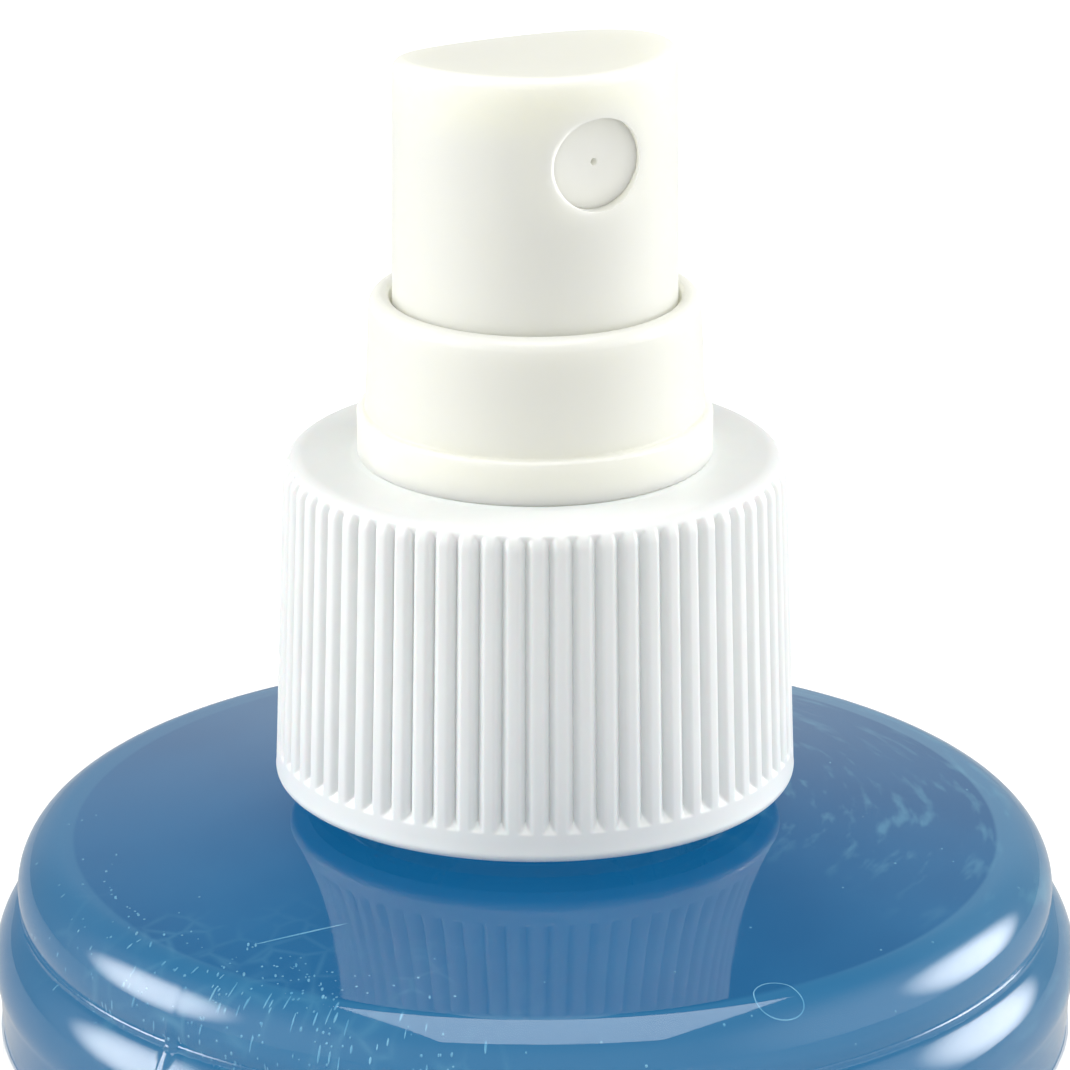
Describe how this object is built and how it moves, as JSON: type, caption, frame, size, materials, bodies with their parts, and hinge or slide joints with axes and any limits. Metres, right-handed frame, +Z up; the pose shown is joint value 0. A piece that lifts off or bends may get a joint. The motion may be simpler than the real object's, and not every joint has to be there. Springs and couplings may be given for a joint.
{
  "type": "lens cleaning spray",
  "caption": "Round clear bottle of blue lens cleaning fluid with a ribbed screw closure and a finger-operated fine-mist pump.",
  "frame": {"origin": "centre of the bottle's base, on the surface it stands on", "axes": "+Z up along the bottle and pump axis; the nozzle faces -Y when the actuator is at rest; +X to the right of a viewer facing the nozzle"},
  "size_m": [0.0588, 0.0588, 0.1485],
  "materials": {
    "clear_bottle": "clear blown plastic, glossy",
    "blue_fluid": "clear blue watery liquid",
    "label_film": "plain satin white film label",
    "white_closure": "opaque white moulded plastic, satin",
    "natural_plastic": "natural translucent moulded plastic",
    "soft_seal": "soft foamed seal",
    "tube_plastic": "flexible translucent extruded tube",
    "spring_steel": "drawn stainless wire",
    "ball_steel": "polished stainless ball"
  },
  "bodies": {
    "bottle": {"bottle": "clear_bottle", "label": "label_film", "lens_fluid": "blue_fluid"},
    "pump": {"pump_housing": "natural_plastic", "collar": "natural_plastic", "neck_gasket": "soft_seal", "dip_tube": "tube_plastic", "return_spring": "spring_steel"},
    "closure": {"closure": "white_closure"},
    "plunger": {"stem": "natural_plastic", "piston_seat": "natural_plastic"},
    "piston": {"piston": "soft_seal"},
    "button": {"actuator": "natural_plastic", "orifice_insert": "natural_plastic"},
    "ball": {"inlet_ball": "ball_steel"}
  },
  "joints": [
    {"name": "pump_lift", "type": "slide", "parent": "bottle", "child": "pump", "axis": [0, 0, 1], "range_m": [0, 0.00476]},
    {"name": "closure_turn", "type": "hinge", "parent": "pump", "child": "closure", "pos_m": [0, 0, 0.117], "axis": [0, 0, 1], "range_deg": [0, 540]},
    {"name": "actuator_press", "type": "slide", "parent": "pump", "child": "plunger", "axis": [0, 0, -1], "range_m": [0, 0.005], "stiffness_N_per_m": 1500, "springref_m": -0.004, "deforming": ["return_spring"]},
    {"name": "piston_follow", "type": "slide", "parent": "pump", "child": "piston", "axis": [0, 0, -1], "range_m": [0, 0.0045]},
    {"name": "actuator_turn", "type": "hinge", "parent": "plunger", "child": "button", "pos_m": [0, 0, 0.14], "axis": [0, 0, 1], "continuous": true},
    {"name": "inlet_ball_lift", "type": "slide", "parent": "pump", "child": "ball", "axis": [0, 0, 1], "range_m": [0, 0.0008]}
  ],
  "couplings": [
    {"joint": "pump_lift", "follows": "closure_turn", "m_per_rad": 0.00050532},
    {"joint": "piston_follow", "follows": "actuator_press", "ratio": 0.9}
  ]
}
